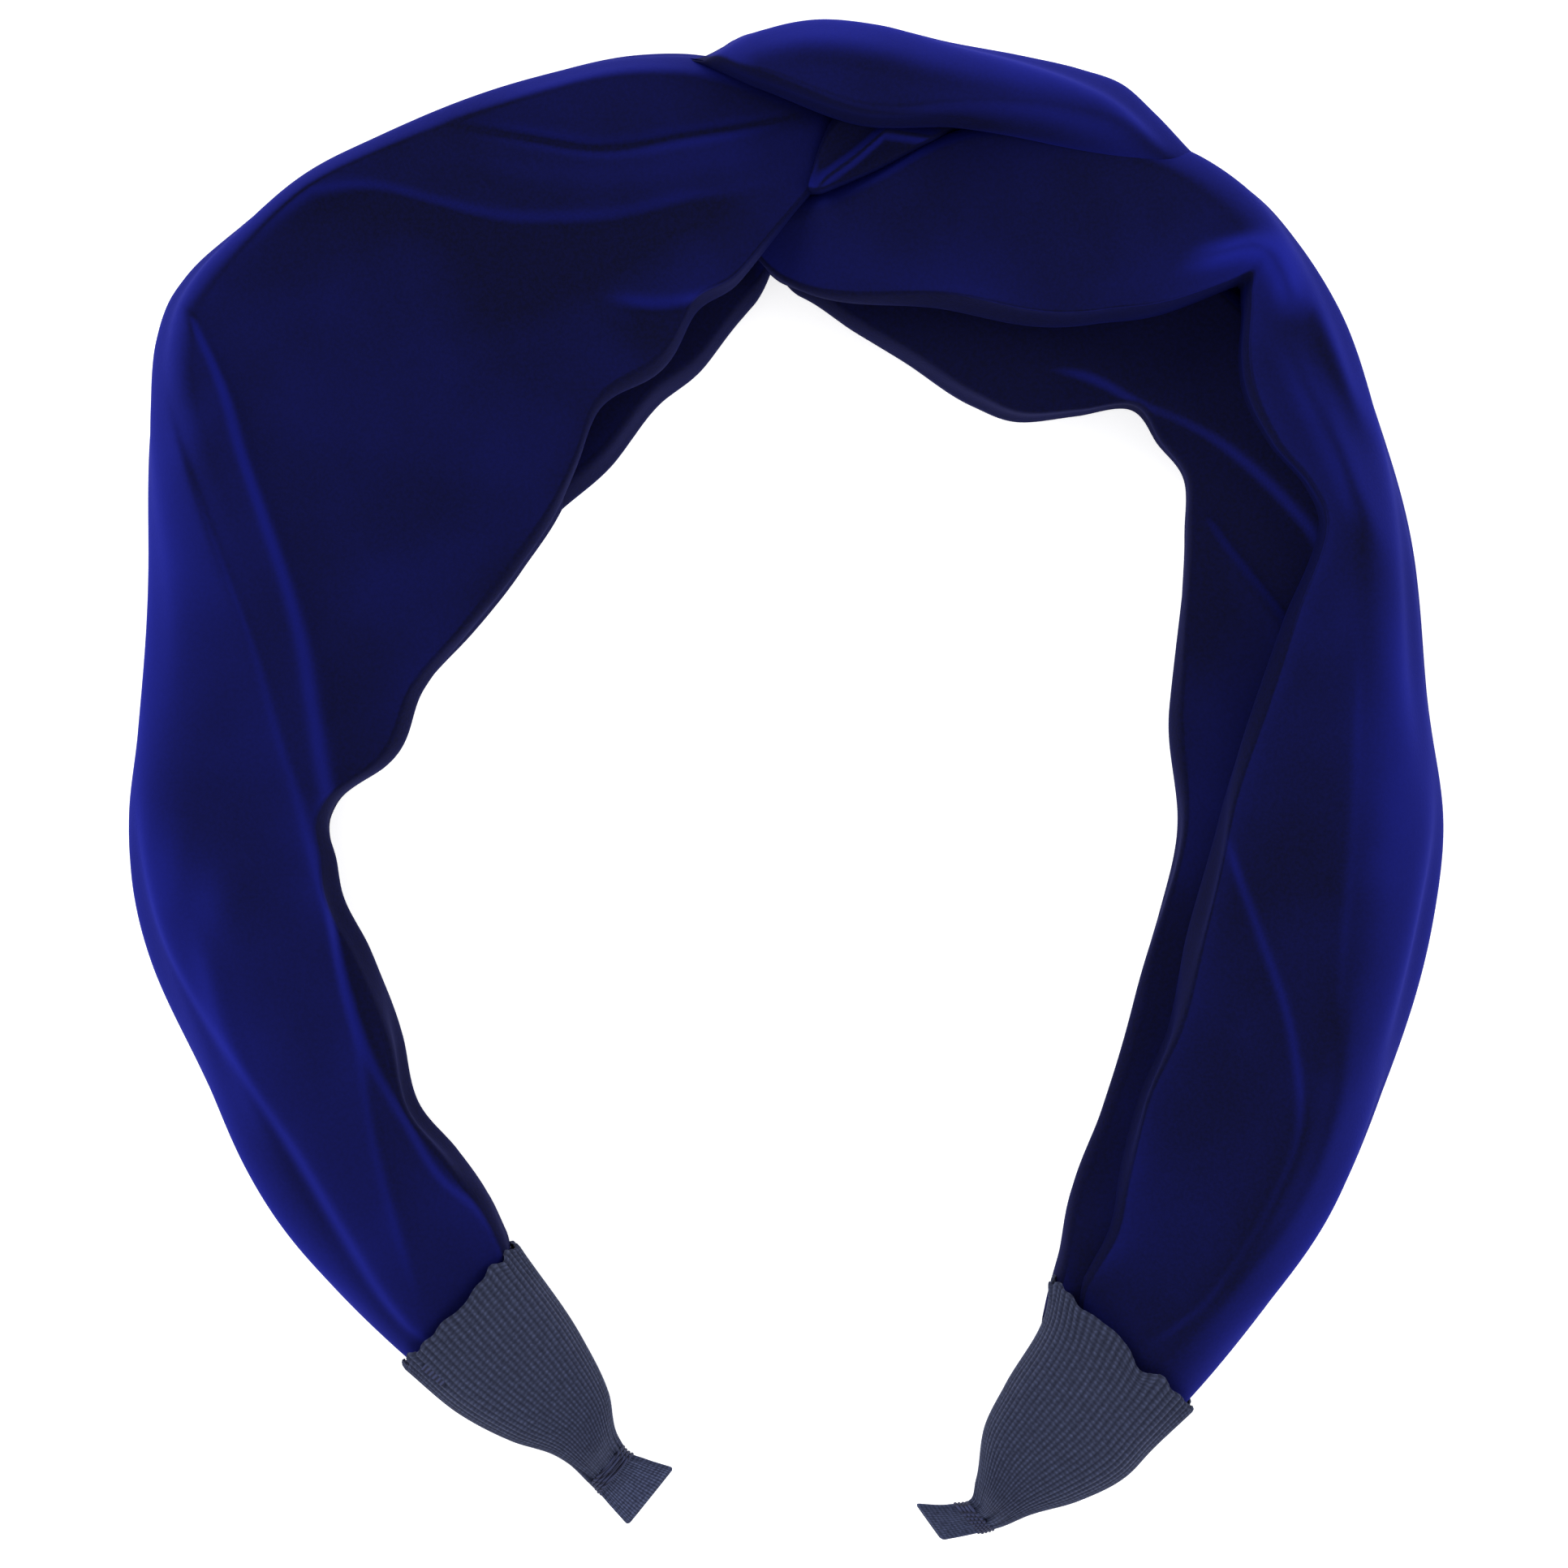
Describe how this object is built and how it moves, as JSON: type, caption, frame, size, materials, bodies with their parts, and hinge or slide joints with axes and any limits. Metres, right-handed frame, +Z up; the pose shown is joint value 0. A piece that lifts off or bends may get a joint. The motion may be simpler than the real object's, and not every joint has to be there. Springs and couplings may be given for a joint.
{
  "type": "knotted headband",
  "caption": "Knotted velvet headband: a springy plastic hoop in a loose, twisted velvet cover, with rib-knit ends pinched into small flat tails.",
  "frame": {"origin": "middle of the outline, on the surface the headband lies on", "axes": "+Z up from that surface, +Y from the open tips to the knot, +X to the right as seen from above"},
  "size_m": [0.14, 0.1622, 0.031],
  "materials": {
    "velvet": "cut-pile velvet, dark where it faces the eye and bright blue at its rims",
    "rib_knit": "fine rib knit, matt navy",
    "tape": "woven tape",
    "thread": "spun polyester thread",
    "hoop": "moulded",
    "glue": "hot-melt, translucent cream"
  },
  "bodies": {
    "crown": {"hoop_crown": "hoop", "hoop_tape_crown": "tape", "velvet_knot_left": "velvet", "velvet_knot_right": "velvet", "knot_tack_stitches": "thread"},
    "left_arm": {"hoop_arm_left": "hoop", "hoop_tape_left": "tape", "velvet_sleeve_left": "velvet", "rib_sock_left": "rib_knit", "gather_binding_left": "thread", "cinch_thread_left": "thread", "glue_dab_left": "glue"},
    "right_arm": {"hoop_arm_right": "hoop", "hoop_tape_right": "tape", "velvet_sleeve_right": "velvet", "rib_sock_right": "rib_knit", "gather_binding_right": "thread", "cinch_thread_right": "thread", "glue_dab_right": "glue"}
  },
  "joints": [
    {"name": "left_arm_flex", "type": "hinge", "parent": "crown", "child": "left_arm", "pos_m": [-0.05056, 0.03942, 0.0065], "axis": [0, 0, -1], "range_deg": [0, 15], "stiffness_Nm_per_rad": 0.8},
    {"name": "right_arm_flex", "type": "hinge", "parent": "crown", "child": "right_arm", "pos_m": [0.05056, 0.03942, 0.0065], "axis": [0, 0, 1], "range_deg": [0, 15], "stiffness_Nm_per_rad": 0.8}
  ]
}
